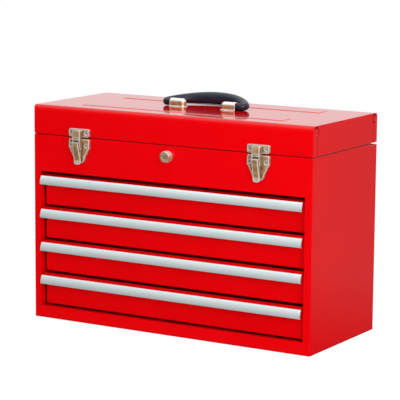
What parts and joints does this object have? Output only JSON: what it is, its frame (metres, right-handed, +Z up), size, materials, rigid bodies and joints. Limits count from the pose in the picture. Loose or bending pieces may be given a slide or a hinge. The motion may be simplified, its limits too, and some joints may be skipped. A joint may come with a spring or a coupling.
{
  "type": "portable tool box",
  "caption": "Red steel portable tool box with full-width drawers, a hinged lid over a top compartment, draw latches, a key lock and a fold-down swing handle.",
  "frame": {"origin": "middle of the case's bottom face, on the ground", "axes": "+X to the right along the width, +Y from the drawer fronts to the hinged back, +Z up"},
  "size_m": [0.51, 0.2377, 0.3717],
  "materials": {
    "red_paint": "gloss enamel",
    "red_paint_inside": "gloss enamel, thinner coat",
    "zinc_plate": "bright zinc plate",
    "nickel_plate": "bright nickel plate",
    "aluminium_trim": "satin anodised",
    "black_plastic": "semi-gloss moulded",
    "steel_rod": "plain drawn rod"
  },
  "bodies": {
    "case": {"case_wrap": "red_paint", "front_frame": "red_paint", "bottom_pan": "red_paint_inside", "till_floor": "red_paint_inside", "rim_lip": "red_paint_inside", "runner_left_1": "zinc_plate", "runner_left_2": "zinc_plate", "runner_left_3": "zinc_plate", "runner_left_4": "zinc_plate", "runner_right_1": "zinc_plate", "runner_right_2": "zinc_plate", "runner_right_3": "zinc_plate", "runner_right_4": "zinc_plate", "hinge_leaf_case": "zinc_plate", "hinge_pin": "zinc_plate", "hinge_rivets_case": "zinc_plate", "latch_base_left": "nickel_plate", "latch_base_right": "nickel_plate", "latch_base_rivets": "nickel_plate", "latch_lever_pins": "zinc_plate", "lock_barrel": "nickel_plate", "lock_nut": "zinc_plate"},
    "drawer_1": {"drawer_tray_1": "red_paint_inside", "drawer_front_1": "red_paint", "drawer_pull_1": "aluminium_trim", "drawer_rails_1": "zinc_plate"},
    "drawer_2": {"drawer_tray_2": "red_paint_inside", "drawer_front_2": "red_paint", "drawer_pull_2": "aluminium_trim", "drawer_rails_2": "zinc_plate"},
    "drawer_3": {"drawer_tray_3": "red_paint_inside", "drawer_front_3": "red_paint", "drawer_pull_3": "aluminium_trim", "drawer_rails_3": "zinc_plate"},
    "drawer_4": {"drawer_tray_4": "red_paint_inside", "drawer_front_4": "red_paint", "drawer_pull_4": "aluminium_trim", "drawer_rails_4": "zinc_plate"},
    "lid": {"lid_shell": "red_paint", "hinge_leaf_lid": "zinc_plate", "hinge_rivets_lid": "zinc_plate", "latch_keeper_left": "nickel_plate", "latch_keeper_right": "nickel_plate", "latch_keeper_rivets": "nickel_plate", "lock_striker": "zinc_plate", "handle_clip_left": "nickel_plate", "handle_clip_right": "nickel_plate"},
    "handle": {"handle_core": "steel_rod", "handle_grip": "black_plastic"},
    "lever_left": {"latch_lever_left": "nickel_plate", "latch_claw_pin_left": "zinc_plate"},
    "claw_left": {"latch_claw_left": "nickel_plate"},
    "lever_right": {"latch_lever_right": "nickel_plate", "latch_claw_pin_right": "zinc_plate"},
    "claw_right": {"latch_claw_right": "nickel_plate"},
    "lock": {"lock_plug": "nickel_plate", "lock_cam": "zinc_plate", "lock_cam_screw": "zinc_plate"}
  },
  "joints": [
    {"name": "drawer_1_slide", "type": "slide", "parent": "case", "child": "drawer_1", "axis": [0, -1, 0], "range_m": [0, 0.15]},
    {"name": "drawer_2_slide", "type": "slide", "parent": "case", "child": "drawer_2", "axis": [0, -1, 0], "range_m": [0, 0.15]},
    {"name": "drawer_3_slide", "type": "slide", "parent": "case", "child": "drawer_3", "axis": [0, -1, 0], "range_m": [0, 0.15]},
    {"name": "drawer_4_slide", "type": "slide", "parent": "case", "child": "drawer_4", "axis": [0, -1, 0], "range_m": [0, 0.15]},
    {"name": "lid_hinge", "type": "hinge", "parent": "case", "child": "lid", "pos_m": [0, 0.11, 0.3028], "axis": [-1, 0, 0], "range_deg": [0, 105]},
    {"name": "handle_swing", "type": "hinge", "parent": "lid", "child": "handle", "pos_m": [0, 0, 0.3566], "axis": [1, 0, 0], "range_deg": [0, 165]},
    {"name": "lever_left_pivot", "type": "hinge", "parent": "case", "child": "lever_left", "pos_m": [-0.164, -0.1171, 0.2935], "axis": [-1, 0, 0], "range_deg": [0, 95]},
    {"name": "claw_left_pivot", "type": "hinge", "parent": "lever_left", "child": "claw_left", "pos_m": [-0.164, -0.1165, 0.2855], "axis": [-1, 0, 0], "range_deg": [-109.25, 0]},
    {"name": "lever_right_pivot", "type": "hinge", "parent": "case", "child": "lever_right", "pos_m": [0.164, -0.1171, 0.2935], "axis": [-1, 0, 0], "range_deg": [0, 95]},
    {"name": "claw_right_pivot", "type": "hinge", "parent": "lever_right", "child": "claw_right", "pos_m": [0.164, -0.1165, 0.2855], "axis": [-1, 0, 0], "range_deg": [-109.25, 0]},
    {"name": "lock_turn", "type": "hinge", "parent": "case", "child": "lock", "pos_m": [0, -0.1085, 0.285], "axis": [0, 1, 0], "range_deg": [0, 90]}
  ],
  "couplings": [
    {"joint": "claw_left_pivot", "follows": "lever_left_pivot", "ratio": -1.15},
    {"joint": "claw_right_pivot", "follows": "lever_right_pivot", "ratio": -1.15}
  ]
}
